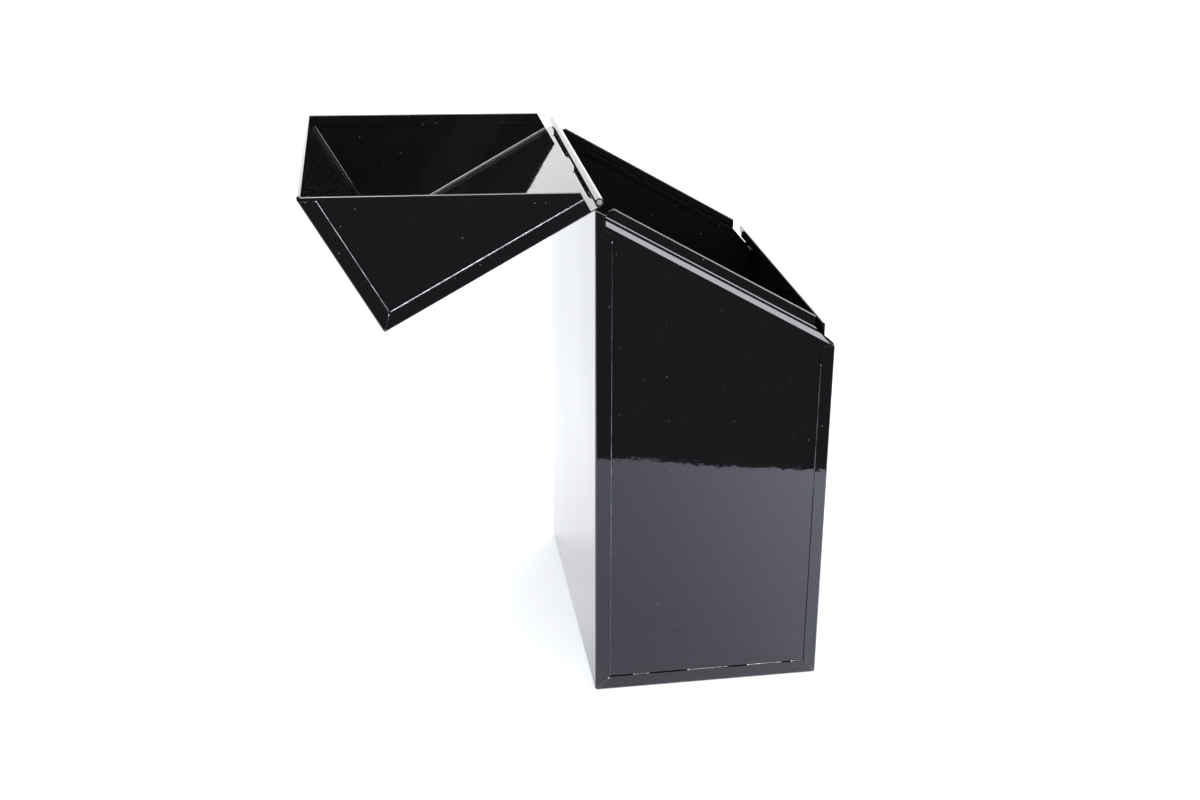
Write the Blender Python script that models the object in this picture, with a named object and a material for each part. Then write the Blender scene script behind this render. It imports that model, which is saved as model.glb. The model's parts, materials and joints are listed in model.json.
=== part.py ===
"""Firelighter tidy: a sheet-steel box with a slanted mouth, and a wedge-shaped lid on a rolled hinge.

Metres, +Z up. The low front looks along -Y and the hinge runs along X at the back. The origin is
the centre of the box's base. The lid rests open, tipped over backwards until its hinge stops it.
"""

from math import atan2, cos, pi, radians, sin, tan

import bmesh
import bpy
from mathutils import Matrix, Vector

X, Y, Z = Vector((1, 0, 0)), Vector((0, 1, 0)), Vector((0, 0, 1))

# Finishes: base colour, roughness, metallic
ENAMEL = ((0.012, 0.012, 0.013), 0.12, 0.0)
PLATED = ((0.78, 0.77, 0.75), 0.22, 1.0)

# Sheet steel, and the clearance between pieces that lie against each other
SHEET = 0.0006
GAP = 0.0003
BEND_STEP = radians(18)         # one facet of a bend

# Box
BOX_WIDTH = 0.200               # outside the side flanges
BOX_DEPTH = 0.133               # outside the front and back walls
FRONT_HEIGHT = 0.2085           # flat part of the front wall
MOUTH_SLOPE = radians(30)
SHOULDER_SETBACK = 0.0023       # from the front wall to the low end of the side shoulder

# Folds of the wraps and panels; radii are those of the outer face
CORNER_RADIUS = 0.0012          # between the walls of a wrap
FLANGE_RADIUS = 0.0010          # between a wall and its side flange
FLANGE = 0.0080                 # width of the flanges under the box's side panels and on the lid
FRONT_FLANGE = 0.0073
BACK_FLANGE = 0.0088
NECK = 0.0056                   # width of the back flanges beside the shoulders
RETURN_RADIUS = 0.0009
RETURN = 0.0120                 # edges of the side panels that turn in along the wraps
HEM_RADIUS = 0.00065            # flat hem, folded right back

# Side shoulder and lip, measured square to the mouth's slope
SHOULDER_RISE = 0.0049
SHOULDER_STEP = 0.0017          # inwards
SHOULDER_FACETS = 6             # in each of its two arcs
LIP_RISE = 0.0054
LIP_HEM_LEG = 0.0036
LIP_FRONT_SETBACK = 0.0115      # from the front wall to the lip's front end
LIP_BACK_SETBACK = 0.0059       # from the back wall to the foot of the lip's back end
CHAMFER_RUN = 0.0021            # off the lip's upper back corner
CHAMFER_DROP = 0.0027

# Front shoulder and lip
FRONT_BEND_RADIUS = 0.0015
FRONT_BEND = radians(50)
FRONT_RUN = 0.0059              # flat part of the shoulder
FRONT_LIP = 0.0065
FRONT_LIP_INSET = 0.0030        # from the outside of the flanges to the ends of the lip

# Lid
LID_SETBACK = 0.0060            # from the hinge's axis to the back end of the lid's sides
LID_LIFT = 0.0044               # from the low edge of the side shoulder to the closed lid's rim
LID_TOP_RETURN = 0.0050         # edge of the lid's sides that turns in under its top
LID_HEM_LEG = 0.0058            # flat hem along the rim
LID_FLANGE_END = 0.0020         # from the rim to the low end of the front wall's flanges
OPEN_HEM_RADIUS = 0.0011        # open hem under the lid's front wall
OPEN_HEM_LEG = 0.0040
OPEN_HEM_CLEARANCE = 0.0004     # from the open hem to the lid's sides

# Hinge, with knuckles rolled from the edges of the wraps
PIN_RADIUS = 0.0017
PIN_CLEARANCE = 0.0001
PIN_CHAMFER = 0.0003
PIN_FACETS = 48
KNUCKLE_WRAP = radians(308)
KNUCKLE_FACETS = 28
KNUCKLE_GAP = 0.0003
KNUCKLE_JOINTS = (0, 0.123, 0.408, 0.592, 0.877, 1)     # shares of the hinge's length
BOX_KNUCKLES = (2, 4)
LID_KNUCKLES = (1, 3, 5)
OPEN_ANGLE = radians(208.8)     # from closed to the stop

# Planes that the pieces share
HALF_WIDTH = BOX_WIDTH / 2
HALF_DEPTH = BOX_DEPTH / 2
HALF_FLAT = HALF_WIDTH - FLANGE_RADIUS          # of the wraps, between their flanges' bends
PANEL_X = HALF_WIDTH - SHEET - GAP              # outer face of the side panels
PANEL_EDGE = SHEET + GAP + RETURN_RADIUS        # from a wall's outside to a panel's flat part
RISE = tan(MOUTH_SLOPE)
UP_SLOPE = Vector((0, cos(MOUTH_SLOPE), sin(MOUTH_SLOPE)))
OFF_SLOPE = Vector((0, -sin(MOUTH_SLOPE), cos(MOUTH_SLOPE)))


def shoulder_z(y):
    """Height of the side shoulder's low edge."""
    return FRONT_HEIGHT + RISE * (y + HALF_DEPTH - SHOULDER_SETBACK)


def rim_z(y):
    """Height of the closed lid's rim."""
    return shoulder_z(y) + LID_LIFT / cos(MOUTH_SLOPE)


# The knuckles are tangent to the outer faces of their walls. The notches between them are just deep
# enough for the lid's tabs to stop on the back wall's edge.
KNUCKLE_RADIUS = PIN_RADIUS + PIN_CLEARANCE + SHEET
PAST_LEVEL = OPEN_ANGLE - pi
NOTCH = (KNUCKLE_RADIUS * (1 + sin(PAST_LEVEL)) + GAP) / cos(PAST_LEVEL)
BACK_HEIGHT = shoulder_z(HALF_DEPTH) + SHOULDER_RISE / cos(MOUTH_SLOPE)
AXIS = Vector((0, HALF_DEPTH - KNUCKLE_RADIUS, BACK_HEIGHT + NOTCH))


def new_material(name, colour, roughness, metallic):
    material = bpy.data.materials.new(name)
    material.use_nodes = True
    shader = material.node_tree.nodes["Principled BSDF"]
    shader.inputs["Base Color"].default_value = (*colour, 1)
    shader.inputs["Roughness"].default_value = roughness
    shader.inputs["Metallic"].default_value = metallic
    material.diffuse_color = (*colour, 1)
    return material


def new_object(name, bm, finish, origin=Vector(), parent=None):
    """Makes the named object from a finished bmesh."""
    mesh = bpy.data.meshes.new(name)
    bm.to_mesh(mesh)
    bm.free()
    mesh.shade_smooth()
    mesh.set_sharp_from_angle(angle=radians(40))
    mesh.materials.append(new_material(name, *finish))
    item = bpy.data.objects.new(name, mesh)
    bpy.context.scene.collection.objects.link(item)
    item.location = origin
    item.parent = parent
    return item


def new_sheet(name, bm, parent=None):
    """Makes the named object from the outer face of a folded sheet."""
    item = new_object(name, bm, ENAMEL, parent=parent)
    solidify = item.modifiers.new("thickness", "SOLIDIFY")
    solidify.thickness = SHEET
    solidify.offset = -1
    solidify.use_even_offset = True
    solidify.use_quality_normals = True
    return item


def flat_face(bm, points, outward):
    """A flat face that looks along outward. Gives its vertices in the order of the points."""
    verts = [bm.verts.new(point) for point in points]
    face = bm.faces.new(verts)
    face.normal_update()
    if face.normal.dot(outward) < 0:
        face.normal_flip()
    return verts


def pull(bm, chain, moves):
    """Extrudes the edge through the chain of vertices, each new vertex by its own move."""
    edges = [bm.edges.get(pair) for pair in zip(chain, chain[1:])]
    made = bmesh.ops.extrude_edge_only(bm, edges=edges)["geom"]
    fresh = [item for item in made if isinstance(item, bmesh.types.BMVert)]
    pulled = []
    for vert, move in zip(chain, moves):
        twin = min(fresh, key=lambda other: (other.co - vert.co).length)
        fresh.remove(twin)
        twin.co = vert.co + move
        pulled.append(twin)
    return pulled


def run_on(bm, chain, heading, length, leans=(0, 0)):
    """Carries the sheet on flat. Each end leans along the chain by its share of the length."""
    along = (chain[-1].co - chain[0].co).normalized()
    moves = [heading * length for _ in chain]
    moves[0] = moves[0] + along * (leans[0] * length)
    moves[-1] = moves[-1] + along * (leans[1] * length)
    return pull(bm, chain, moves)


def fold(bm, chain, away, turn, radius, angle, step=BEND_STEP):
    """Bends the sheet beyond the chain from the direction away towards turn."""
    facets = round(angle / step)
    reached = Vector()
    for facet in range(1, facets + 1):
        part = angle * facet / facets
        place = away * (radius * sin(part)) + turn * (radius * (1 - cos(part)))
        chain = pull(bm, chain, [place - reached] * len(chain))
        reached = place
    return chain


def flange(bm, chain, away, turn, radius, width, leans=(0, 0)):
    """Folds an edge square, and gives the flange its width from the bend's outside."""
    chain = fold(bm, chain, away, turn, radius, pi / 2)
    return run_on(bm, chain, turn, width - radius, leans)


def hem(bm, chain, away, turn, radius, leg, leans=(0, 0)):
    """Folds an edge back on itself."""
    chain = fold(bm, chain, away, turn, radius, pi)
    return run_on(bm, chain, -away, leg, leans)


def knuckle_spans(knuckles):
    """Left and right end of each of the numbered knuckles."""
    joints = [HALF_FLAT * (2 * share - 1) for share in KNUCKLE_JOINTS]
    lefts = joints[:1] + [joint + KNUCKLE_GAP / 2 for joint in joints[1:-1]]
    rights = [joint - KNUCKLE_GAP / 2 for joint in joints[1:-1]] + joints[-1:]
    return [(lefts[number - 1], rights[number - 1]) for number in knuckles]


def hinge_places(knuckles):
    """Places along a wrap's hinge edge, from its left end to its right."""
    return sorted({-HALF_FLAT, HALF_FLAT, *(x for span in knuckle_spans(knuckles) for x in span)})


def roll_knuckles(bm, edge, knuckles, heading, turn):
    """Carries tabs on from the hinge edge and rolls them round the pin."""
    places = hinge_places(knuckles)
    for span in knuckle_spans(knuckles):
        tab = run_on(bm, [edge[places.index(x)] for x in span], heading, NOTCH)
        fold(bm, tab, heading, turn, KNUCKLE_RADIUS, KNUCKLE_WRAP, KNUCKLE_WRAP / KNUCKLE_FACETS)


def box_wrap():
    """Back wall, bottom and front wall in one sheet, with side flanges, front lip and knuckles."""
    bm = bmesh.new()
    reach = HALF_DEPTH - CORNER_RADIUS
    lip = HALF_WIDTH - FRONT_LIP_INSET
    front_places = (-HALF_FLAT, -lip, lip, HALF_FLAT)
    corners = [(x, -reach, 0) for x in front_places]
    corners += [(x, reach, 0) for x in reversed(hinge_places(BOX_KNUCKLES))]
    bottom = flat_face(bm, corners, -Z)
    front, back = bottom[:len(front_places)], bottom[:len(front_places) - 1:-1]
    for end, away in ((0, -X), (-1, X)):
        flange(bm, [front[end], back[end]], away, Z, FLANGE_RADIUS, FLANGE, (1, -1))

    low = fold(bm, front, -Y, Z, CORNER_RADIUS, pi / 2)
    top = run_on(bm, low, Z, FRONT_HEIGHT - CORNER_RADIUS)
    for end, away in ((0, -X), (-1, X)):
        flange(bm, [low[end], top[end]], away, Y, FLANGE_RADIUS, FRONT_FLANGE, (1, 0))

    slant = Z * cos(FRONT_BEND) + Y * sin(FRONT_BEND)
    off_slant = Z * sin(FRONT_BEND) - Y * cos(FRONT_BEND)
    chain = fold(bm, top[1:3], Z, Y, FRONT_BEND_RADIUS, FRONT_BEND)
    chain = run_on(bm, chain, slant, FRONT_RUN)
    chain = fold(bm, chain, slant, off_slant, FRONT_BEND_RADIUS, FRONT_BEND)
    chain = run_on(bm, chain, Z, FRONT_LIP - HEM_RADIUS)
    hem(bm, chain, Z, Y, HEM_RADIUS, LIP_HEM_LEG)

    neck_z = shoulder_z(HALF_DEPTH - BACK_FLANGE)
    low = fold(bm, back, Y, Z, CORNER_RADIUS, pi / 2)
    neck = run_on(bm, low, Z, neck_z - CORNER_RADIUS)
    top = run_on(bm, neck, Z, BACK_HEIGHT - neck_z)
    for end, away in ((0, -X), (-1, X)):
        edge = [low[end], neck[end], top[end]]
        edge = flange(bm, edge, away, -Y, FLANGE_RADIUS, NECK, (1, -RISE))
        run_on(bm, edge[:2], -Y, BACK_FLANGE - NECK, (1, -RISE))
    roll_knuckles(bm, top, BOX_KNUCKLES, Z, -Y)
    return new_sheet("box_wrap", bm)


def shoulder_profile():
    """Step inwards and rise at each facet of the side shoulder, two arcs that meet half-way up."""
    turn = 2 * atan2(SHOULDER_STEP, SHOULDER_RISE)
    radius = SHOULDER_RISE / 2 / sin(turn)
    angles = [turn * facet / SHOULDER_FACETS for facet in range(1, SHOULDER_FACETS + 1)]
    lower = [(radius * (1 - cos(angle)), radius * sin(angle)) for angle in angles]
    upper = [(SHOULDER_STEP - step, SHOULDER_RISE - rise) for step, rise in reversed(lower[:-1])]
    return lower + upper + [(SHOULDER_STEP, SHOULDER_RISE)]


def box_side(name, out):
    """One side of the box, with its edges turned in along the wrap and its lip stepped in."""
    bm = bmesh.new()
    reach = HALF_DEPTH - PANEL_EDGE
    return_top = FRONT_HEIGHT - CORNER_RADIUS
    places = ((-reach, PANEL_EDGE), (reach, PANEL_EDGE), (reach, shoulder_z(reach)),
              (-reach, shoulder_z(-reach)), (-reach, return_top))
    corners = [out * PANEL_X + Y * y + Z * z for y, z in places]
    low_front, low_back, top_back, top_front, return_end = flat_face(bm, corners, out)
    for edge, away in (((low_front, low_back), -Z), ((low_back, top_back), Y), ((low_front, return_end), -Y)):
        flange(bm, edge, away, -out, RETURN_RADIUS, RETURN)

    # How far the shoulder's two ends lean along the slope for each unit of its rise
    ends = ((LIP_FRONT_SETBACK - PANEL_EDGE) / SHOULDER_RISE, (PANEL_EDGE - LIP_BACK_SETBACK) / SHOULDER_RISE)
    leans = [(end + sin(MOUTH_SLOPE)) / cos(MOUTH_SLOPE) for end in ends]
    chain = [top_front, top_back]
    last_step = last_rise = 0
    for step, rise in shoulder_profile():
        move = OFF_SLOPE * (rise - last_rise) - out * (step - last_step)
        chain = pull(bm, chain, [move + UP_SLOPE * (lean * (rise - last_rise)) for lean in leans])
        last_step, last_rise = step, rise
    chain = run_on(bm, chain, OFF_SLOPE, LIP_RISE - CHAMFER_DROP, (RISE, 0))
    chain = run_on(bm, chain, OFF_SLOPE, CHAMFER_DROP - HEM_RADIUS, (RISE, -CHAMFER_RUN / CHAMFER_DROP))
    hem(bm, chain, OFF_SLOPE, -out, HEM_RADIUS, LIP_HEM_LEG, (-RISE, 0))
    return new_sheet(name, bm)


# The lid's pieces are built closed, from the hinge's axis, and hang from an empty that tips them open
LID_TOP = KNUCKLE_RADIUS
LID_FRONT = -HALF_DEPTH - AXIS.y
OPEN_HEM_Z = rim_z(OPEN_HEM_RADIUS - HALF_DEPTH) + OPEN_HEM_RADIUS - AXIS.z   # where it starts to curl


def lid_wrap(hinge):
    """Top and front wall of the lid in one sheet, with side flanges, an open hem and knuckles."""
    bm = bmesh.new()
    hem_x = PANEL_X - 2 * HEM_RADIUS - OPEN_HEM_CLEARANCE
    front_places = (-HALF_FLAT, -hem_x, hem_x, HALF_FLAT)
    corners = [(x, LID_FRONT + CORNER_RADIUS, LID_TOP) for x in front_places]
    corners += [(HALF_FLAT, -LID_SETBACK, LID_TOP)]
    corners += [(x, -NOTCH, LID_TOP) for x in reversed(hinge_places(LID_KNUCKLES))]
    corners += [(-HALF_FLAT, -LID_SETBACK, LID_TOP)]
    top = flat_face(bm, corners, Z)
    front, right_end, left_end = top[:len(front_places)], top[len(front_places)], top[-1]
    flange(bm, [left_end, front[0]], -X, -Z, FLANGE_RADIUS, FLANGE, (0, -1))
    flange(bm, [right_end, front[-1]], X, -Z, FLANGE_RADIUS, FLANGE, (0, -1))
    roll_knuckles(bm, top[-2:len(front_places):-1], LID_KNUCKLES, Y, -Z)

    flange_z = rim_z(FLANGE_RADIUS - HALF_DEPTH) + LID_FLANGE_END / cos(MOUTH_SLOPE) - AXIS.z
    high = fold(bm, front, -Y, -Z, CORNER_RADIUS, pi / 2)
    flange_end = run_on(bm, high, -Z, LID_TOP - CORNER_RADIUS - flange_z)
    low = run_on(bm, flange_end, -Z, flange_z - OPEN_HEM_Z)
    for end, away in ((0, -X), (-1, X)):
        flange(bm, [high[end], flange_end[end]], away, Y, FLANGE_RADIUS, FLANGE, (1, -RISE))
    hem(bm, low[1:3], -Z, Y, OPEN_HEM_RADIUS, OPEN_HEM_LEG)
    return new_sheet("lid_wrap", bm, hinge)


def lid_side(name, out, hinge):
    """One side of the lid, with its edges turned in along the wrap and its rim hemmed."""
    bm = bmesh.new()
    top = LID_TOP - PANEL_EDGE
    front = LID_FRONT + PANEL_EDGE
    return_end = OPEN_HEM_Z + OPEN_HEM_LEG + OPEN_HEM_CLEARANCE
    front_rim, back_rim = [rim_z(y + AXIS.y) - AXIS.z + HEM_RADIUS / cos(MOUTH_SLOPE) for y in (front, -LID_SETBACK)]
    places = ((-LID_SETBACK, top), (front, top), (front, return_end), (front, front_rim), (-LID_SETBACK, back_rim))
    corners = [out * PANEL_X + Y * y + Z * z for y, z in places]
    top_back, top_front, return_low, rim_front, rim_back = flat_face(bm, corners, out)
    flange(bm, [top_back, top_front], Z, -out, RETURN_RADIUS, LID_TOP_RETURN)
    flange(bm, [top_front, return_low], -Y, -out, RETURN_RADIUS, RETURN)
    hem(bm, [rim_front, rim_back], -OFF_SLOPE, -out, HEM_RADIUS, LID_HEM_LEG, (RISE, RISE))
    return new_sheet(name, bm, hinge)


def hinge_pin():
    """Plain wire pin, as long as the barrel."""
    bm = bmesh.new()
    along_x = Matrix.Rotation(pi / 2, 4, "Y")
    bmesh.ops.create_cone(bm, cap_ends=True, segments=PIN_FACETS, radius1=PIN_RADIUS,
                          radius2=PIN_RADIUS, depth=2 * HALF_FLAT, matrix=along_x)
    caps = [face for face in bm.faces if abs(face.normal.x) > cos(BEND_STEP)]
    rims = {edge for face in caps for edge in face.edges}
    bmesh.ops.bevel(bm, geom=list(rims), offset=PIN_CHAMFER, segments=1, affect="EDGES", profile=0.5, material=-1)
    return new_object("hinge_pin", bm, PLATED, AXIS)


def open_hinge():
    """The empty on the hinge's axis that carries the lid."""
    hinge = bpy.data.objects.new("lid_hinge", None)
    bpy.context.scene.collection.objects.link(hinge)
    hinge.location = AXIS
    hinge.rotation_euler.x = -OPEN_ANGLE
    return hinge


def main():
    for item in list(bpy.data.objects):
        bpy.data.objects.remove(item)
    box_wrap()
    box_side("box_left_side", -X)
    box_side("box_right_side", X)
    hinge_pin()

    hinge = open_hinge()
    lid_wrap(hinge)
    lid_side("lid_left_side", -X, hinge)
    lid_side("lid_right_side", X, hinge)


main()
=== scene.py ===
import json
from math import atan2, cos, pi, radians, sin, tan

import bmesh
import bpy
from mathutils import Matrix, Vector, noise


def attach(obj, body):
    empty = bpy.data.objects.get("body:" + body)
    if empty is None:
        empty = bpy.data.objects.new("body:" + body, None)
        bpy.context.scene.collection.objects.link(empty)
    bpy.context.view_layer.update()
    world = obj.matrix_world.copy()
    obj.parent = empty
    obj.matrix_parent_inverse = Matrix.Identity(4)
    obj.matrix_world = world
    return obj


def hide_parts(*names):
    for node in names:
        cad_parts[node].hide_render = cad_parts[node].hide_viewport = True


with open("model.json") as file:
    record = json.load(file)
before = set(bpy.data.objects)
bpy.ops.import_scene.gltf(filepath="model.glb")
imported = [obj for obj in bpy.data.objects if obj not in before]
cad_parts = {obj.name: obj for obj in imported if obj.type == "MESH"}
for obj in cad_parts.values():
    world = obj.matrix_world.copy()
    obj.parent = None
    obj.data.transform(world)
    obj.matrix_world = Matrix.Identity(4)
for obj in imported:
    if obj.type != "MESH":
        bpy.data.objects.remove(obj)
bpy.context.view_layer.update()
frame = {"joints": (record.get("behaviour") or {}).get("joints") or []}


# Camera. It stands to the left of the box and a little behind it, higher than the lid, and looks
# down at the left side panel, as the photograph does. No shift and no depth of field.
CAMERA_PLACE = Vector((-0.8510, 0.1781, 0.4998))
CAMERA_LENS, SENSOR_WIDTH = 45.55, 36
YAW, PITCH, ROLL = 0.1509, 0.3935, 0.0007
X, Y, Z = Vector((1, 0, 0)), Vector((0, 1, 0)), Vector((0, 0, 1))

ahead = Vector((cos(PITCH) * cos(YAW), -cos(PITCH) * sin(YAW), -sin(PITCH)))
level_right = ahead.cross(Z).normalized()
level_up = level_right.cross(ahead)
right = level_right * cos(ROLL) + level_up * sin(ROLL)
up = level_up * cos(ROLL) - level_right * sin(ROLL)
camera = bpy.data.objects.new("camera", bpy.data.cameras.new("camera"))
camera.data.lens = CAMERA_LENS
camera.data.sensor_width = SENSOR_WIDTH
facing = Matrix((right, up, -ahead)).transposed().to_4x4()
camera.matrix_world = Matrix.Translation(CAMERA_PLACE) @ facing
bpy.context.scene.collection.objects.link(camera)
bpy.context.scene.camera = camera
bpy.context.scene.view_settings.view_transform = "Standard"


# Studio. A sheet of white paper lies under the box and runs out into a white surround. It ends just
# in front of the camera, where the room is dark. Large soft lights stand to the right, to the left and
# overhead. Only the gloss sees them, and in the gloss alone the paper is painted darker at the left, a
# painted shade, and glows with painted light.
PAPER_START, PAPER_TURN, PAPER_LENGTH, PAPER_WIDTH = -0.415, radians(16), 5.0, 8.0
PAPER_TONE, PAPER_ROUGHNESS, NEAR_PAINTED_SHADE = (0.91, 0.93, 0.96, 1), 0.9, (0.505, 0.515, 0.67, 1)
FAR_PAPER, BESIDE_PAPER = (-0.18, 0.02), (0.10, 0.06)
# Colour of the paper's painted glow, which only the gloss sees.
GLOW_TONE = (0.90, 0.91, 1.0, 1)
FAR_GLOW, NEAR_GLOW, SIDE_GLOW = (0.12, 0.60, 0.32, 0.11), (0.08, -0.30, 0.05, 1.9), (0.22, 0.45, 0, 0.5)
ROOM_WHITE, ROOM_FILL = 1.0, 1.7
GLOSS_TURN, GLOSS_DARK, GLOSS_BRIGHT = (-0.15, 0.45), 0.010, 2.6
SOFT_LIGHTS = (("right_light", (-0.75, -1.20, 0.82), (1.8, 1.3), 8.0),      # name, place, size, radiance
               ("left_light", (-0.60, 0.75, 1.25), (1.3, 1.1), 26.0),
               ("top_light", (-0.40, -0.25, 1.60), (1.1, 0.9), 12.0))
AIM = Vector((0, 0, 0.2))


def feed(tree, socket, value):
    """Sets a socket to a plain value, or joins it to another node's output."""
    if isinstance(value, bpy.types.NodeSocket):
        tree.links.new(value, socket)
    else:
        socket.default_value = value


def add(tree, kind, setup=None, **inputs):
    """Adds a node, with its properties from setup and its inputs by name."""
    made = tree.nodes.new("ShaderNode" + kind)
    for name, value in (setup or {}).items():
        setattr(made, name, value)
    for name, value in inputs.items():
        feed(tree, made.inputs[name.replace("_", " ")], value)
    return made


def maths(tree, operation, *values):
    """Adds a Math node and gives its output."""
    made = add(tree, "Math", {"operation": operation})
    for socket, value in zip(made.inputs, values):
        feed(tree, socket, value)
    return made.outputs[0]


def spread(tree, value, low, high, to_low=0.0, to_high=1.0):
    """Maps a value smoothly from one range to another."""
    made = add(tree, "MapRange", {"interpolation_type": "SMOOTHSTEP"}, Value=value,
               From_Min=low, From_Max=high, To_Min=to_low, To_Max=to_high)
    return made.outputs[0]


world = bpy.data.worlds.new("studio")
bpy.context.scene.world = world
world.use_nodes = True
tree = world.node_tree
tree.nodes.clear()
rays = add(tree, "LightPath").outputs
heading = add(tree, "SeparateXYZ", Vector=add(tree, "TexCoord").outputs["Generated"]).outputs
gloss = spread(tree, heading["X"], *GLOSS_TURN, GLOSS_DARK, GLOSS_BRIGHT)
kept = maths(tree, "ADD", maths(tree, "MULTIPLY", rays["Is Camera Ray"], ROOM_WHITE),
             maths(tree, "MULTIPLY", rays["Is Diffuse Ray"], ROOM_FILL))
strength = maths(tree, "ADD", kept, maths(tree, "MULTIPLY", rays["Is Glossy Ray"], gloss))
background = add(tree, "Background", Color=(1, 1, 1, 1), Strength=strength)
tree.links.new(background.outputs[0], add(tree, "OutputWorld").inputs["Surface"])

bm = bmesh.new()
bmesh.ops.create_grid(bm, x_segments=1, y_segments=1, size=0.5)
bmesh.ops.scale(bm, vec=(PAPER_LENGTH, PAPER_WIDTH, 1), verts=bm.verts)
bmesh.ops.translate(bm, vec=(PAPER_LENGTH / 2, 0, 0), verts=bm.verts)
bmesh.ops.rotate(bm, cent=(0, 0, 0), matrix=Matrix.Rotation(PAPER_TURN, 3, "Z"), verts=bm.verts)
bmesh.ops.translate(bm, vec=(PAPER_START, 0, 0), verts=bm.verts)
mesh = bpy.data.meshes.new("paper")
bm.to_mesh(mesh)
bm.free()
paper = bpy.data.objects.new("paper", mesh)
bpy.context.scene.collection.objects.link(paper)
white = bpy.data.materials.new("white paper")
white.use_nodes = True
tree = white.node_tree
shader = tree.nodes["Principled BSDF"]
shader.inputs["Roughness"].default_value = PAPER_ROUGHNESS
shader.inputs["Emission Color"].default_value = GLOW_TONE
place = add(tree, "SeparateXYZ", Vector=add(tree, "TexCoord").outputs["Object"]).outputs
mirrored = add(tree, "LightPath").outputs["Is Glossy Ray"]
far = spread(tree, place["X"], *FAR_PAPER)
near = maths(tree, "MULTIPLY", maths(tree, "SUBTRACT", 1, far),
             spread(tree, place["Y"], *BESIDE_PAPER))
# Painted shade: in the gloss alone, the paper in front of the near side turns a darker, bluer tone.
tone = add(tree, "Mix", {"data_type": "RGBA"}, Factor=maths(tree, "MULTIPLY", near, mirrored))
feed(tree, tone.inputs["A"], PAPER_TONE)
feed(tree, tone.inputs["B"], NEAR_PAINTED_SHADE)
feed(tree, shader.inputs["Base Color"], tone.outputs["Result"])
# Painted light: the paper glows for the gloss alone, far off, in front of the near side and out to the
# sides.
glow = maths(tree, "ADD", maths(tree, "MULTIPLY", far, spread(tree, place["X"], *FAR_GLOW)),
             maths(tree, "MULTIPLY", near, spread(tree, place["Y"], *NEAR_GLOW)))
glow = maths(tree, "ADD", glow, spread(tree, maths(tree, "ABSOLUTE", place["Y"]), *SIDE_GLOW))
feed(tree, shader.inputs["Emission Strength"], maths(tree, "MULTIPLY", glow, mirrored))
paper.data.materials.append(white)

for name, place, size, radiance in SOFT_LIGHTS:
    lamp = bpy.data.lights.new(name, "AREA")
    lamp.shape = "RECTANGLE"
    lamp.size, lamp.size_y = size
    lamp.energy = radiance * pi * size[0] * size[1]
    light = bpy.data.objects.new(name, lamp)
    facing = (Vector(place) - AIM).to_track_quat("Z", "Y").to_matrix().to_4x4()
    light.matrix_world = Matrix.Translation(place) @ facing
    light.visible_camera = light.visible_diffuse = False
    bpy.context.scene.collection.objects.link(light)


# Box wrap. One sheet of 0.6 mm steel is folded into the front wall, the bottom and the back wall. Its
# long edges are turned in as a frame round the side panels, the front edge is stepped and hemmed into
# a lip, and two knuckles are rolled from the back edge. It is dipped in black gloss enamel.
SHEET = 0.0006
HALF_WIDTH, HALF_DEPTH = 0.100, 0.0665
FRONT_HEIGHT = 0.2085
SLOPE = radians(30)
RISE = tan(SLOPE)
SHOULDER_SETBACK, SHOULDER_RISE = 0.0023, 0.0049
CORNER_RADIUS, FLANGE_RADIUS, HEM_RADIUS = 0.0012, 0.0010, 0.00065
BOTTOM_FLANGE, FRONT_FLANGE, BACK_FLANGE, NECK = 0.0080, 0.0073, 0.0088, 0.0056
STEP_BEND, STEP_ANGLE, STEP_RUN = 0.0015, radians(50), 0.0059
LIP_HEIGHT, LIP_INSET, LIP_HEM = 0.0065, 0.0030, 0.0036
KNUCKLE_RADIUS, KNUCKLE_WRAP, KNUCKLE_GAP = 0.0024, radians(308), 0.0003
KNUCKLE_JOINTS = (0, 0.123, 0.408, 0.592, 0.877, 1)
HALF_FLAT = HALF_WIDTH - FLANGE_RADIUS
FACET = radians(11.25)
EDGE_ROUNDING, ROUNDED_FROM = 0.00014, radians(50)
MITRE_GAP = 0.0004
RIM_MIDDLE, RIM_START = 0.12, radians(100)      # the rim is put in order round this height
ROUND_OFF = 1e-6

hinge = frame["joints"][0]
AXIS = Vector(hinge["pos_m"])


def shoulder_z(y):
    """Height of the low edge of the side shoulders."""
    return FRONT_HEIGHT + RISE * (y + HALF_DEPTH - SHOULDER_SETBACK)


BACK_HEIGHT = shoulder_z(HALF_DEPTH) + SHOULDER_RISE / cos(SLOPE)
NOTCH = AXIS.z - BACK_HEIGHT


def pull(bm, chain, moves):
    """Extrudes the edge through the chain of vertices, each new vertex by its own move."""
    made = bmesh.ops.extrude_edge_only(bm, edges=[bm.edges.get(pair) for pair in zip(chain, chain[1:])])
    fresh = [item for item in made["geom"] if isinstance(item, bmesh.types.BMVert)]
    pulled = []
    for vert, move in zip(chain, moves):
        twin = min(fresh, key=lambda other: (other.co - vert.co).length)
        fresh.remove(twin)
        twin.co = vert.co + move
        pulled.append(twin)
    return pulled


def run_on(bm, chain, move, first=0, last=0):
    """Carries the sheet on flat. Its two ends also shift along the chain."""
    line = (chain[-1].co - chain[0].co).normalized()
    moves = [move for _ in chain]
    moves[0] = move + line * first
    moves[-1] = move + line * last
    return pull(bm, chain, moves)


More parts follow.
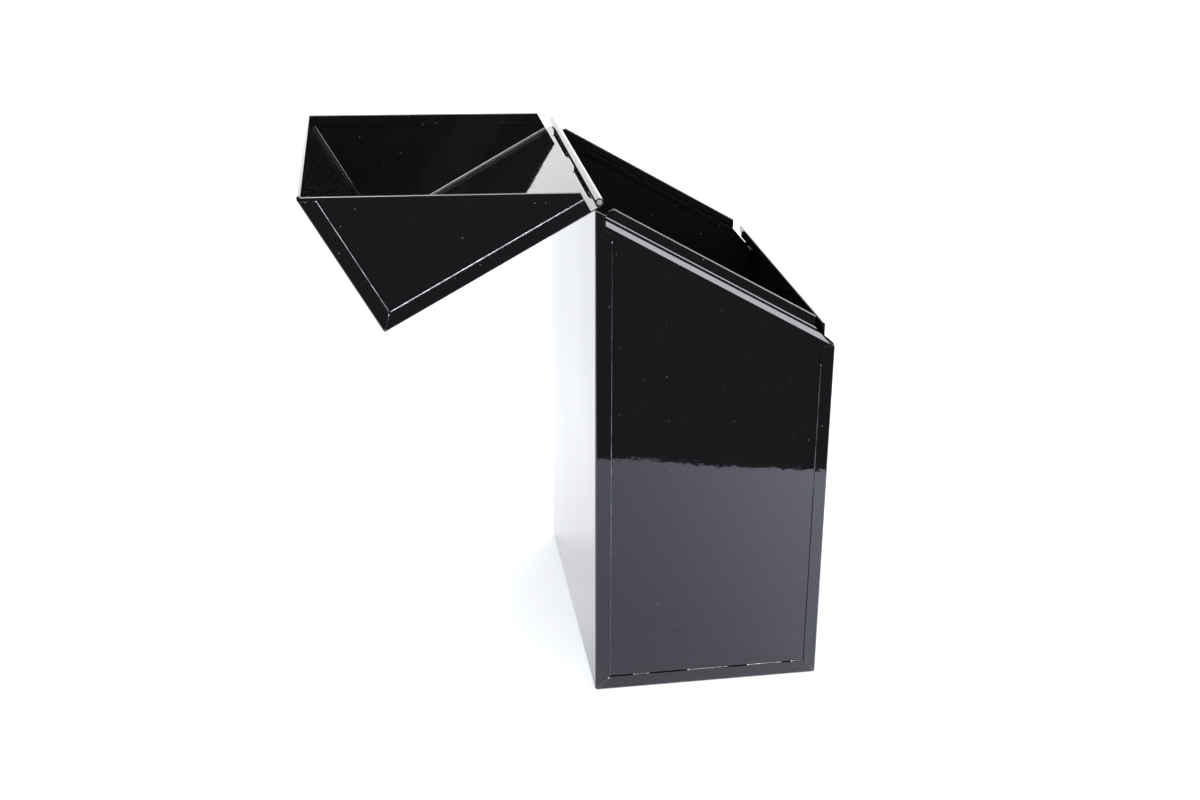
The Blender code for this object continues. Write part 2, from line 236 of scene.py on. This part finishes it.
def bend(bm, chain, away, turn, radius, angle=pi / 2):
    """Bends the sheet on from the direction away towards turn."""
    line = (chain[-1].co - chain[0].co).normalized()
    edges = [bm.edges.get(pair) for pair in zip(chain, chain[1:])]
    made = bmesh.ops.spin(bm, geom=chain + edges, cent=chain[0].co + turn * radius,
                          axis=away.cross(turn), angle=angle, steps=round(angle / FACET),
                          use_merge=False, use_duplicate=False)
    last = [item for item in made["geom_last"] if isinstance(item, bmesh.types.BMVert)]
    return sorted(last, key=lambda vert: vert.co.dot(line))


def hem(bm, chain, away, turn, radius, leg, first=0, last=0):
    """Folds an edge back on itself."""
    return run_on(bm, bend(bm, chain, away, turn, radius, pi), away * -leg, first, last)


def roll_rim(bm, rim, out, inwards):
    """Bends the whole rim of a wrap inwards at once, round its corners too."""
    steps = round(pi / 2 / FACET)
    reached = (0, 0)
    for step in range(1, steps + 1):
        turned = pi / 2 * step / steps
        place = (FLANGE_RADIUS * sin(turned), FLANGE_RADIUS * (1 - cos(turned)))
        sideways, down = place[0] - reached[0], place[1] - reached[1]
        rim = pull(bm, rim, [out * sideways + inward * down for inward in inwards])
        reached = place
    return rim


def plate(bm, verts, points):
    """Closes a flat part between vertices that are there and new ones at the points."""
    bm.faces.new(verts + [bm.verts.new(point) for point in points])


def knuckle_spans(numbers):
    """Left and right end of each of the numbered knuckles."""
    joints = [HALF_FLAT * (2 * share - 1) for share in KNUCKLE_JOINTS]
    lefts = joints[:1] + [joint + KNUCKLE_GAP / 2 for joint in joints[1:-1]]
    rights = [joint - KNUCKLE_GAP / 2 for joint in joints[1:-1]] + joints[-1:]
    return [(lefts[number - 1], rights[number - 1]) for number in numbers]


def roll_knuckles(bm, edge, numbers, away, turn):
    """Carries tabs on from the hinge edge and rolls them round the pin."""
    for left, right in knuckle_spans(numbers):
        tab = [min(edge, key=lambda vert: abs(vert.co.x - x)) for x in (left, right)]
        bend(bm, run_on(bm, tab, away * NOTCH), away, turn, KNUCKLE_RADIUS, KNUCKLE_WRAP)


def new_piece(name, bm, body, node, material):
    """Makes the piece that stands for a CAD node and rides on its body."""
    mesh = bpy.data.meshes.new(name)
    bm.to_mesh(mesh)
    bm.free()
    mesh.shade_smooth()
    mesh.materials.append(material)
    piece = bpy.data.objects.new(name, mesh)
    bpy.context.scene.collection.objects.link(piece)
    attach(piece, body)
    if node:
        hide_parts(node)
    return piece


def new_sheet(name, bm, outward, body, node, material):
    """Makes a sheet from its outer face, whose first face looks along outward."""
    bm.faces.ensure_lookup_table()
    first = bm.faces[0]
    bmesh.ops.recalc_face_normals(bm, faces=bm.faces)
    first.normal_update()
    if first.normal.dot(outward) < 0:
        bmesh.ops.reverse_faces(bm, faces=bm.faces)
    piece = new_piece(name, bm, body, node, material)
    thickness = piece.modifiers.new("thickness", "SOLIDIFY")
    thickness.thickness = SHEET
    thickness.offset = -1
    thickness.use_even_offset = True
    thickness.use_quality_normals = True
    rounding = piece.modifiers.new("rounded edges", "BEVEL")
    rounding.width = EDGE_ROUNDING
    rounding.segments = 3
    rounding.limit_method = "ANGLE"
    rounding.angle_limit = ROUNDED_FROM
    shading = piece.modifiers.new("flat panels", "WEIGHTED_NORMAL")
    shading.weight = 100
    return piece


BLACK, COAT_TINT, COAT_INDEX = (0.0062, 0.0064, 0.0074, 1), (0.95, 0.96, 1.0, 1), 1.62
PEEL_SCALE, PEEL_HEIGHT, WAVE_SCALE, WAVE_HEIGHT = 170.0, 0.022, 11.0, 0.30
FILM_SCALE, FILM_PATCHES, FILM_ROUGHNESS = 55.0, (0.3, 0.7), (0.02, 0.035)
DUST_TONE, DUST_SCALE, DUST_TURN = (0.22, 0.21, 0.20, 1), 230.0, (0.4, 0.7, 0.3)
DUST_SIZE, DUST_LEFT_OUT, DUST_ROUGHNESS, DUST_HEIGHT = 0.055, 0.3, 0.4, 0.02
COAT_DEPTH = 0.001


def enamel_coat():
    """The wavy, slightly pitted and dusty surface of dipped enamel, as colour, roughness and normal."""
    group = bpy.data.node_groups.new("enamel coat", "ShaderNodeTree")
    group.interface.new_socket(name="Wave", in_out="INPUT", socket_type="NodeSocketFloat")
    for name, kind in (("Color", "Color"), ("Roughness", "Float"), ("Normal", "Vector")):
        group.interface.new_socket(name=name, in_out="OUTPUT", socket_type="NodeSocket" + kind)
    given = group.nodes.new("NodeGroupInput").outputs
    place = add(group, "TexCoord").outputs["Object"]

    askew = add(group, "Mapping", Vector=place, Rotation=DUST_TURN).outputs[0]
    cells = add(group, "TexVoronoi", Vector=askew, Scale=DUST_SCALE)
    lot = add(group, "SeparateColor", Color=cells.outputs["Color"]).outputs
    size = maths(group, "MULTIPLY", lot["Green"], DUST_SIZE)
    chosen = maths(group, "GREATER_THAN", lot["Red"], DUST_LEFT_OUT)
    inside = maths(group, "LESS_THAN", cells.outputs["Distance"], size)
    speck = maths(group, "MULTIPLY", inside, chosen)
    colour = add(group, "Mix", {"data_type": "RGBA"}, Factor=speck)
    feed(group, colour.inputs["A"], BLACK)
    feed(group, colour.inputs["B"], DUST_TONE)

    film = add(group, "TexNoise", Vector=place, Scale=FILM_SCALE, Detail=4.0, Roughness=0.6)
    rough = maths(group, "ADD", spread(group, film.outputs["Fac"], *FILM_PATCHES, *FILM_ROUGHNESS),
                  maths(group, "MULTIPLY", speck, DUST_ROUGHNESS))

    peel = add(group, "TexNoise", Vector=place, Scale=PEEL_SCALE, Detail=2.0, Roughness=0.5)
    wave = add(group, "TexNoise", Vector=place, Scale=WAVE_SCALE, Detail=0.0)
    swell = maths(group, "MULTIPLY", wave.outputs["Fac"], given["Wave"])
    height = maths(group, "ADD", maths(group, "MULTIPLY", peel.outputs["Fac"], PEEL_HEIGHT),
                   maths(group, "MULTIPLY", swell, WAVE_HEIGHT))
    height = maths(group, "ADD", height, maths(group, "MULTIPLY", speck, DUST_HEIGHT))
    bump = add(group, "Bump", Strength=1.0, Distance=COAT_DEPTH, Height=height)

    result = group.nodes.new("NodeGroupOutput").inputs
    feed(group, result["Color"], colour.outputs["Result"])
    feed(group, result["Roughness"], rough)
    feed(group, result["Normal"], bump.outputs["Normal"])
    return group


coat = enamel_coat()


def enamel(name, wave):
    """Black gloss enamel, with its own amount of slow waves."""
    material = bpy.data.materials.new(name)
    material.use_nodes = True
    tree = material.node_tree
    shader = tree.nodes["Principled BSDF"]
    shader.inputs["IOR"].default_value = COAT_INDEX
    shader.inputs["Specular Tint"].default_value = COAT_TINT
    layer = tree.nodes.new("ShaderNodeGroup")
    layer.node_tree = coat
    layer.inputs["Wave"].default_value = wave
    for output, socket in (("Color", "Base Color"), ("Roughness", "Roughness"), ("Normal", "Normal")):
        tree.links.new(layer.outputs[output], shader.inputs[socket])
    return material


box_enamel = enamel("box enamel", wave=1.0)

bm = bmesh.new()
reach = HALF_DEPTH - CORNER_RADIUS
front_places = (-HALF_FLAT, LIP_INSET - HALF_WIDTH, HALF_WIDTH - LIP_INSET, HALF_FLAT)
back_places = [-HALF_FLAT] + [x for span in knuckle_spans((2, 4)) for x in span] + [HALF_FLAT]
front = [bm.verts.new((x, -reach, 0)) for x in front_places]
back = [bm.verts.new((x, reach, 0)) for x in back_places]
bm.faces.new(front + back[::-1])
front_low = bend(bm, front, -Y, Z, CORNER_RADIUS)
front_top = run_on(bm, front_low, Z * (FRONT_HEIGHT - CORNER_RADIUS))
neck_z = shoulder_z(HALF_DEPTH - BACK_FLANGE)
back_low = bend(bm, back, Y, Z, CORNER_RADIUS)
back_neck = run_on(bm, back_low, Z * (neck_z - CORNER_RADIUS))
back_top = run_on(bm, back_neck, Z * (BACK_HEIGHT - neck_z))

inner_front, inner_back = FRONT_FLANGE - HALF_DEPTH, HALF_DEPTH - BACK_FLANGE
inner_neck, neck_drop = HALF_DEPTH - NECK, RISE * (BACK_FLANGE - NECK)
for out in (-X, X):
    rim = [vert for vert in bm.verts if abs(vert.co.x - out.x * HALF_FLAT) < ROUND_OFF]
    rim.sort(key=lambda vert: (atan2(vert.co.z - RIM_MIDDLE, vert.co.y) - RIM_START) % (2 * pi))
    inwards = []
    for vert in rim:
        centre = Vector((vert.co.x, max(-reach, min(reach, vert.co.y)), max(CORNER_RADIUS, vert.co.z)))
        inwards.append((centre - vert.co).normalized())
    row = roll_rim(bm, rim, out, inwards)
    corner_rows = [[vert for vert, foot in zip(row, rim)
                    if foot.co.z < CORNER_RADIUS + ROUND_OFF and way * foot.co.y > reach - ROUND_OFF]
                   for way in (-1, 1)]
    low_front, low_back = [row.index(corner[len(corner) // 2]) for corner in corner_rows]
    side_x = out.x * HALF_WIDTH
    plate(bm, row[:low_front + 1],
          [(side_x, inner_front, BOTTOM_FLANGE + MITRE_GAP), (side_x, inner_front, FRONT_HEIGHT)])
    plate(bm, row[low_front:low_back + 1],
          [(side_x, inner_back - MITRE_GAP, BOTTOM_FLANGE),
           (side_x, inner_front + MITRE_GAP, BOTTOM_FLANGE)])
    plate(bm, row[low_back:],
          [(side_x, inner_neck, BACK_HEIGHT - RISE * (NECK - FLANGE_RADIUS)),
           (side_x, inner_neck, neck_z), (side_x, inner_back, neck_z - neck_drop),
           (side_x, inner_back, BOTTOM_FLANGE + MITRE_GAP)])

slant = Z * cos(STEP_ANGLE) + Y * sin(STEP_ANGLE)
off_slant = Z * sin(STEP_ANGLE) - Y * cos(STEP_ANGLE)
lip = bend(bm, front_top[1:3], Z, Y, STEP_BEND, STEP_ANGLE)
lip = bend(bm, run_on(bm, lip, slant * STEP_RUN), slant, off_slant, STEP_BEND, STEP_ANGLE)
hem(bm, run_on(bm, lip, Z * (LIP_HEIGHT - HEM_RADIUS)), Z, Y, HEM_RADIUS, LIP_HEM)
roll_knuckles(bm, back_top, (2, 4), Z, -Y)
new_sheet("box_wrap_sheet", bm, -Z, "box", "box_wrap", box_enamel)


# Box sides. Each is one panel of the same sheet with its edges turned in along the wrap, where they
# are spot-welded. Along the sloping mouth it steps inwards in a soft shoulder and stands up as a lip
# with a flat hem, over which the lid's sides close.
GAP, RETURN_RADIUS, RETURN = 0.0003, 0.0009, 0.0120
UP_SLOPE, OFF_SLOPE = Vector((0, cos(SLOPE), sin(SLOPE))), Vector((0, -sin(SLOPE), cos(SLOPE)))
SHOULDER_STEP = 0.0017
SIDE_LIP, SIDE_LIP_HEM, LIP_FRONT_SETBACK, LIP_BACK_SETBACK = 0.0054, 0.0036, 0.0115, 0.0059
CHAMFER_RUN, CHAMFER_DROP = 0.0021, 0.0027
SHOULDER_RUNS = ((0, 27, 0.8, 6), (27, 27, 2.2, 1), (27, 3, 0.5, 5), (3, 3, 0.9, 1),
                 (3, 42, 0.25, 4), (42, 42, 0.3, 1), (42, 0, 0.3, 4))      # tilts, length, facets
PANEL_X = HALF_WIDTH - SHEET - GAP
PANEL_EDGE = SHEET + GAP + RETURN_RADIUS
SIDES = (("left", -X), ("right", X))


def turn_in(bm, edge, away, turn, width):
    """Folds an edge square, with its width from the bend's outside."""
    run_on(bm, bend(bm, edge, away, turn, RETURN_RADIUS), turn * (width - RETURN_RADIUS))


for side, out in SIDES:
    bm = bmesh.new()
    reach = HALF_DEPTH - PANEL_EDGE
    places = ((-reach, PANEL_EDGE), (reach, PANEL_EDGE), (reach, shoulder_z(reach)),
              (-reach, shoulder_z(-reach)), (-reach, FRONT_HEIGHT - CORNER_RADIUS))
    verts = [bm.verts.new(out * PANEL_X + Y * y + Z * z) for y, z in places]
    low_front, low_back, top_back, top_front, return_end = verts
    bm.faces.new(verts)
    turn_in(bm, [low_front, low_back], -Z, -out, RETURN)
    turn_in(bm, [low_back, top_back], Y, -out, RETURN)
    turn_in(bm, [low_front, return_end], -Y, -out, RETURN)

    ends = (LIP_FRONT_SETBACK - PANEL_EDGE, PANEL_EDGE - LIP_BACK_SETBACK)
    leans = [(end / SHOULDER_RISE + sin(SLOPE)) / cos(SLOPE) for end in ends]
    strides = []
    for first, last, length, facets in SHOULDER_RUNS:
        tilts = [radians(first + (last - first) * (facet + 0.5) / facets) for facet in range(facets)]
        strides += [(sin(tilt) * length / facets, cos(tilt) * length / facets) for tilt in tilts]
    step_scale = SHOULDER_STEP / sum(step for step, rise in strides)
    rise_scale = SHOULDER_RISE / sum(rise for step, rise in strides)
    chain = [top_front, top_back]
    for step, rise in strides:
        move = OFF_SLOPE * (rise * rise_scale) - out * (step * step_scale)
        chain = pull(bm, chain, [move + UP_SLOPE * (lean * rise * rise_scale) for lean in leans])
    straight, slanted = SIDE_LIP - CHAMFER_DROP, CHAMFER_DROP - HEM_RADIUS
    chain = run_on(bm, chain, OFF_SLOPE * straight, RISE * straight)
    chain = run_on(bm, chain, OFF_SLOPE * slanted, RISE * slanted, -CHAMFER_RUN / CHAMFER_DROP * slanted)
    hem(bm, chain, OFF_SLOPE, -out, HEM_RADIUS, SIDE_LIP_HEM, -RISE * SIDE_LIP_HEM)
    new_sheet(f"box_{side}_panel", bm, out, "box", f"box_{side}_side", box_enamel)


# Seam beads. Enamel has run together along the step between the wrap's turned-in edges and the side
# panels, and along the mitred corners. It bridges the seams in thin beads that let some of the bright
# steel shine through, and leaves them open in short stretches.
BEAD_RADIUS, BEAD_REACH, BEAD_LIFT, BEAD_STEP = 0.00036, 0.00008, 0.0001, 0.0012
BACK_RUN_DROP, FRONT_RUN_START, FRONT_RUN_DROP, FRONT_SHARE = 0.004, 0.118, 0.011, 0.6
BOTTOM_RUNS = ((0.115, 0.20, 0.6), (0.395, 0.605, 0.75),      # from, to, share of the radius
               (0.705, 0.885, 1.0), (0.935, 1.0, 1.0))
MITRE_RADIUS, MITRE_DEPTH, MITRE_SHARE = 0.00026, 0.00020, 0.93
EVEN, UNEVEN, RAGGED = 0.08, 0.1, 0.45
FINE_LUMPS, COARSE_LUMPS = 700, 150
STEEL_BRIGHT, STEEL_DARK = (0.20, 0.205, 0.215, 1), (0.08, 0.083, 0.09, 1)
STEEL_ROUGHNESS, PATCH_SCALE, PATCH_EDGES = 0.08, 160.0, (0.35, 0.65)

thin_enamel = bpy.data.materials.new("thin enamel over steel")
thin_enamel.use_nodes = True
tree = thin_enamel.node_tree
shader = tree.nodes["Principled BSDF"]
shader.inputs["Metallic"].default_value = 1.0
shader.inputs["Roughness"].default_value = STEEL_ROUGHNESS
place = add(tree, "TexCoord").outputs["Object"]
patch = add(tree, "TexNoise", Vector=place, Scale=PATCH_SCALE, Detail=2.0).outputs["Fac"]
tone = add(tree, "Mix", {"data_type": "RGBA"}, Factor=spread(tree, patch, *PATCH_EDGES))
feed(tree, tone.inputs["A"], STEEL_DARK)
feed(tree, tone.inputs["B"], STEEL_BRIGHT)
feed(tree, shader.inputs["Base Color"], tone.outputs["Result"])


def beads(name, body, runs):
    """Lays thin beads of enamel, each from start to end with its radius and raggedness."""
    bm = bmesh.new()
    for start, end, radius, ragged in runs:
        start, along = Vector(start), Vector(end) - Vector(start)
        spin = along.to_track_quat("Z", "Y").to_matrix().to_4x4()
        ring = bmesh.ops.create_circle(bm, segments=8, radius=radius,
                                       matrix=Matrix.Translation(start) @ spin)["verts"]
        steps, last = max(4, round(along.length / BEAD_STEP)), 1
        for step in range(1, steps + 1):
            edges = {edge for vert in ring for edge in vert.link_edges if edge.other_vert(vert) in ring}
            made = bmesh.ops.extrude_edge_only(bm, edges=list(edges))
            ring = [item for item in made["geom"] if isinstance(item, bmesh.types.BMVert)]
            foot = start + along * (step / steps)
            size = 1 + (noise.noise(foot * FINE_LUMPS) + noise.noise(foot * COARSE_LUMPS)) * ragged
            for vert in ring:
                vert.co = foot + (vert.co + along / steps - foot) * (size / last)
            last = size
    bmesh.ops.holes_fill(bm, edges=bm.edges)
    bmesh.ops.recalc_face_normals(bm, faces=bm.faces)
    return new_piece(name, bm, body, None, thin_enamel)


runs = []
back_y, front_y, low_z = inner_back - BEAD_REACH, inner_front + BEAD_REACH, BOTTOM_FLANGE + BEAD_REACH
back_end, front_end = neck_z - neck_drop - BACK_RUN_DROP, FRONT_HEIGHT - FRONT_RUN_DROP
for out in (-X, X):
    seam, face = out * (PANEL_X + BEAD_LIFT), out * (HALF_WIDTH - MITRE_DEPTH)
    back_seam, front_seam = seam + Y * back_y, seam + Y * front_y
    runs.append((back_seam + Z * low_z, back_seam + Z * back_end, BEAD_RADIUS, EVEN))
    runs.append((front_seam + Z * FRONT_RUN_START, front_seam + Z * front_end,
                 BEAD_RADIUS * FRONT_SHARE, EVEN))
    for first, last, share in BOTTOM_RUNS:
        ends = [seam + Y * (back_y + (front_y - back_y) * part) + Z * low_z for part in (first, last)]
        runs.append((*ends, BEAD_RADIUS * share, RAGGED))
    for way, inner_y, shifts in ((1, inner_back, (Z * MITRE_GAP, Y * -MITRE_GAP)),
                                 (-1, inner_front, (Z * MITRE_GAP,))):
        outer = face + Y * way * (HALF_DEPTH - FLANGE_RADIUS) + Z * FLANGE_RADIUS
        inner = face + Y * inner_y + Z * BOTTOM_FLANGE
        for shift in shifts:
            runs.append((outer, outer.lerp(inner + shift, MITRE_SHARE), MITRE_RADIUS, UNEVEN))
beads("box_seam_beads", "box", runs)


# Lid wrap. The lid's top and front wall are one sheet, with a frame turned in round the side panels,
# an open hem under the front wall and three knuckles rolled from the back edge. Like all the lid's
# pieces it is folded closed, from the hinge's axis, and then tipped open onto its stop.
OPEN_ANGLE = radians(hinge["range_deg"][1])
FLANGE = 0.0080
LID_TOP, LID_FRONT = KNUCKLE_RADIUS, -HALF_DEPTH - AXIS.y
LID_SETBACK, LID_LIFT, LID_FLANGE_END = 0.0060, 0.0044, 0.0020
OPEN_HEM_RADIUS, OPEN_HEM_LEG, OPEN_HEM_CLEARANCE = 0.0011, 0.0040, 0.0004


def rim_z(y):
    """Height of the closed lid's rim."""
    return shoulder_z(y) + LID_LIFT / cos(SLOPE)


def tip_open(bm):
    """Turns a closed lid piece about the hinge's axis to its open stop."""
    bmesh.ops.rotate(bm, verts=bm.verts, cent=(0, 0, 0), matrix=Matrix.Rotation(-OPEN_ANGLE, 3, "X"))
    bmesh.ops.translate(bm, verts=bm.verts, vec=AXIS)


OPEN_HEM_Z = rim_z(OPEN_HEM_RADIUS - HALF_DEPTH) + OPEN_HEM_RADIUS - AXIS.z
TOP_NORMAL = Matrix.Rotation(-OPEN_ANGLE, 3, "X") @ Z
lid_enamel = enamel("lid enamel", wave=0.8)

bm = bmesh.new()
hem_x = PANEL_X - 2 * HEM_RADIUS - OPEN_HEM_CLEARANCE
corner_y = LID_FRONT + CORNER_RADIUS
front = [bm.verts.new((x, corner_y, LID_TOP)) for x in (-HALF_FLAT, -hem_x, hem_x, HALF_FLAT)]
right_end, left_end = [bm.verts.new((x, -LID_SETBACK, LID_TOP)) for x in (HALF_FLAT, -HALF_FLAT)]
back_edge = [bm.verts.new((x, -NOTCH, LID_TOP)) for span in knuckle_spans((1, 3, 5)) for x in span]
bm.faces.new(front + [right_end] + back_edge[::-1] + [left_end])
front_high = bend(bm, front, -Y, -Z, CORNER_RADIUS)
flange_z = rim_z(FLANGE_RADIUS - HALF_DEPTH) + LID_FLANGE_END / cos(SLOPE) - AXIS.z
flange_end = run_on(bm, front_high, -Z * (LID_TOP - CORNER_RADIUS - flange_z))
low = run_on(bm, flange_end, -Z * (flange_z - OPEN_HEM_Z))

inner_y, inner_z = LID_FRONT + FLANGE, LID_TOP - FLANGE
flange_low = flange_z + RISE * (FLANGE - FLANGE_RADIUS)
for out in (-X, X):
    rim = [vert for vert in bm.verts if abs(vert.co.x - out.x * HALF_FLAT) < ROUND_OFF
           and vert.co.y < ROUND_OFF - LID_SETBACK and vert.co.z > flange_z - ROUND_OFF]
    rim.sort(key=lambda vert: vert.co.y + vert.co.z, reverse=True)
    inwards = []
    for vert in rim:
        centre = Vector((vert.co.x, max(corner_y, vert.co.y), min(LID_TOP - CORNER_RADIUS, vert.co.z)))
        inwards.append((centre - vert.co).normalized())
    row = roll_rim(bm, rim, out, inwards)
    corner = [vert for vert, foot in zip(row, rim) if foot.co.y < corner_y + ROUND_OFF
              and foot.co.z > LID_TOP - CORNER_RADIUS - ROUND_OFF]
    middle = row.index(corner[len(corner) // 2])
    side_x = out.x * HALF_WIDTH
    plate(bm, row[:middle + 1],
          [(side_x, inner_y + MITRE_GAP, inner_z), (side_x, -LID_SETBACK, inner_z)])
    plate(bm, row[middle:],
          [(side_x, inner_y, flange_low), (side_x, inner_y, inner_z - MITRE_GAP)])
roll_knuckles(bm, back_edge, (1, 3, 5), Y, -Z)
hem(bm, low[1:3], -Z, Y, OPEN_HEM_RADIUS, OPEN_HEM_LEG)
tip_open(bm)
new_sheet("lid_wrap_sheet", bm, TOP_NORMAL, "lid", "lid_wrap", lid_enamel)


# Lid sides. Each is a three-cornered panel with its two square edges turned in along the wrap and
# spot-welded there, and its long rim hemmed flat.
LID_TOP_RETURN, LID_HEM_LEG = 0.0050, 0.0058

for side, out in SIDES:
    bm = bmesh.new()
    top, front_y, back_y = LID_TOP - PANEL_EDGE, LID_FRONT + PANEL_EDGE, -LID_SETBACK
    return_z = OPEN_HEM_Z + OPEN_HEM_LEG + OPEN_HEM_CLEARANCE
    front_rim, back_rim = [rim_z(y + AXIS.y) - AXIS.z + HEM_RADIUS / cos(SLOPE)
                           for y in (front_y, back_y)]
    places = ((back_y, top), (front_y, top), (front_y, return_z),
              (front_y, front_rim), (back_y, back_rim))
    verts = [bm.verts.new(out * PANEL_X + Y * y + Z * z) for y, z in places]
    top_back, top_front, return_low, rim_front, rim_back = verts
    bm.faces.new(verts)
    turn_in(bm, [top_back, top_front], Z, -out, LID_TOP_RETURN)
    turn_in(bm, [top_front, return_low], -Y, -out, RETURN)
    along = RISE * LID_HEM_LEG
    hem(bm, [rim_front, rim_back], -OFF_SLOPE, -out, HEM_RADIUS, LID_HEM_LEG, along, along)
    tip_open(bm)
    new_sheet(f"lid_{side}_panel", bm, out, "lid", f"lid_{side}_side", lid_enamel)


# Lid seam beads. The same thin beads of enamel run along the seams round each of the lid's side
# panels and along the mitred corner.
TOP_SHARE, LID_FRONT_SHARE, SMOOTH = 0.5, 0.8, 0.02

opened = Matrix.Translation(AXIS) @ Matrix.Rotation(-OPEN_ANGLE, 4, "X")
runs = []
for out in (-X, X):
    seam, face = out * (PANEL_X + BEAD_LIFT), out * (HALF_WIDTH - MITRE_DEPTH)
    corner = seam + Y * (inner_y + BEAD_REACH) + Z * (inner_z - BEAD_REACH)
    top_end, front_end = corner + Y * (-LID_SETBACK - corner.y), corner + Z * (flange_low - corner.z)
    runs.append((opened @ corner, opened @ top_end, BEAD_RADIUS * TOP_SHARE, SMOOTH))
    runs.append((opened @ corner, opened @ front_end, BEAD_RADIUS * LID_FRONT_SHARE, SMOOTH))
    outer = face + Y * (LID_FRONT + FLANGE_RADIUS) + Z * (LID_TOP - FLANGE_RADIUS)
    inner = face + Y * inner_y + Z * inner_z
    runs.append((opened @ outer, opened @ outer.lerp(inner, MITRE_SHARE), MITRE_RADIUS, UNEVEN))
beads("lid_seam_beads", "lid", runs)


# Hinge pin. A length of bright steel wire, cropped at both ends. Its chamfered rim is painted black, a
# painted shade, so its end shows as a pale disc in a dark ring where it meets the knuckle.
PIN_RADIUS, PIN_CHAMFER, UNSHADED_RADIUS, RIM_SHADE_SOFTNESS = 0.0017, 0.0003, 0.0014, 0.00004
WIRE_PALE, WIRE_WHITE = (0.88, 0.87, 0.86, 1), (0.93, 0.92, 0.91, 1)
DRAWN_SCALE, DRAWN_LINES, DRAWN_DEPTH = (40, 2600, 2600), (0.3, 0.7), 0.000005
WIRE_ROUGHNESS, SHARP_FROM = (0.3, 0.38), radians(40)

wire = bpy.data.materials.new("bright wire")
wire.use_nodes = True
tree = wire.node_tree
shader = tree.nodes["Principled BSDF"]
place = add(tree, "TexCoord").outputs["Object"]
centred = add(tree, "Mapping", Vector=place, Scale=(0, 1, 1), Location=(0, -AXIS.y, -AXIS.z)).outputs[0]
off_axis = add(tree, "VectorMath", {"operation": "LENGTH"}, Vector=centred).outputs["Value"]
# Painted shade: black non-metal paint outside the pale middle of the pin's end, over its chamfered rim.
rim_shade = spread(tree, off_axis, UNSHADED_RADIUS - RIM_SHADE_SOFTNESS, UNSHADED_RADIUS + RIM_SHADE_SOFTNESS)
drawn = add(tree, "Mapping", Vector=place, Scale=DRAWN_SCALE)
lines = add(tree, "TexNoise", Vector=drawn.outputs[0], Scale=1.0, Detail=3.0).outputs["Fac"]
tone = add(tree, "Mix", {"data_type": "RGBA"}, Factor=lines)
feed(tree, tone.inputs["A"], WIRE_PALE)
feed(tree, tone.inputs["B"], WIRE_WHITE)
rim_shaded_tone = add(tree, "Mix", {"data_type": "RGBA"}, Factor=rim_shade)
feed(tree, rim_shaded_tone.inputs["A"], tone.outputs["Result"])
feed(tree, rim_shaded_tone.inputs["B"], BLACK)
bump = add(tree, "Bump", Strength=0.3, Distance=DRAWN_DEPTH, Height=lines)
feed(tree, shader.inputs["Base Color"], rim_shaded_tone.outputs["Result"])
feed(tree, shader.inputs["Metallic"], maths(tree, "SUBTRACT", 1, rim_shade))
feed(tree, shader.inputs["Roughness"], spread(tree, lines, *DRAWN_LINES, *WIRE_ROUGHNESS))
feed(tree, shader.inputs["Normal"], bump.outputs[0])

bm = bmesh.new()
lying = Matrix.Translation(AXIS) @ Matrix.Rotation(pi / 2, 4, "Y")
bmesh.ops.create_cone(bm, cap_ends=True, segments=64, radius1=PIN_RADIUS, radius2=PIN_RADIUS,
                      depth=2 * HALF_FLAT, matrix=lying)
rims = [edge for edge in bm.edges if abs(edge.verts[0].co.x - edge.verts[1].co.x) < ROUND_OFF]
bmesh.ops.bevel(bm, geom=rims, offset=PIN_CHAMFER, segments=3, affect="EDGES", profile=0.5, material=-1)
pin = new_piece("hinge_wire", bm, "box", "hinge_pin", wire)
pin.data.set_sharp_from_angle(angle=SHARP_FROM)
